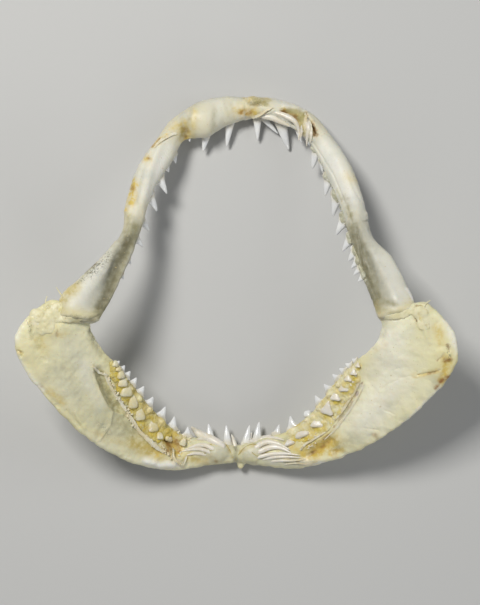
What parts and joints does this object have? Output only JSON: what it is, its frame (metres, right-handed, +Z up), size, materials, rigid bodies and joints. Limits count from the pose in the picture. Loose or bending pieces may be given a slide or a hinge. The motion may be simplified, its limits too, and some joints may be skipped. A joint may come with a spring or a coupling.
{
  "type": "mako shark jaw",
  "caption": "Dried jaws of a mako shark, spread wide open as a ring with working and waiting teeth, lying on their outer face.",
  "frame": {"origin": "middle of the bounding box, at its bottom", "axes": "+X to the animal's right, from joint to joint; +Y from the middle of the lower jaw to the middle of the upper jaw; +Z up, the way the tongue side faces"},
  "size_m": [0.3214, 0.2883, 0.0989],
  "materials": {
    "upper_cartilage": "dried cartilage, ivory white with yellow stains, satin, a little see-through",
    "lower_cartilage": "dried cartilage, warm cream with yellow and brown stains, satin, a little see-through",
    "tooth": "tooth enamel, cool white and glossy, cream at the root",
    "gum": "dried gum membrane, yellow brown, wrinkled, satin",
    "ligament": "dried ligament, pale yellow, rough and stringy"
  },
  "bodies": {
    "root": {"upper_jaw_left": "upper_cartilage", "upper_jaw_right": "upper_cartilage", "lower_jaw_left": "lower_cartilage", "lower_jaw_right": "lower_cartilage", "upper_symphysis": "ligament", "lower_symphysis": "ligament", "joint_capsule_left": "ligament", "joint_capsule_right": "ligament"}
  },
  "joints": []
}
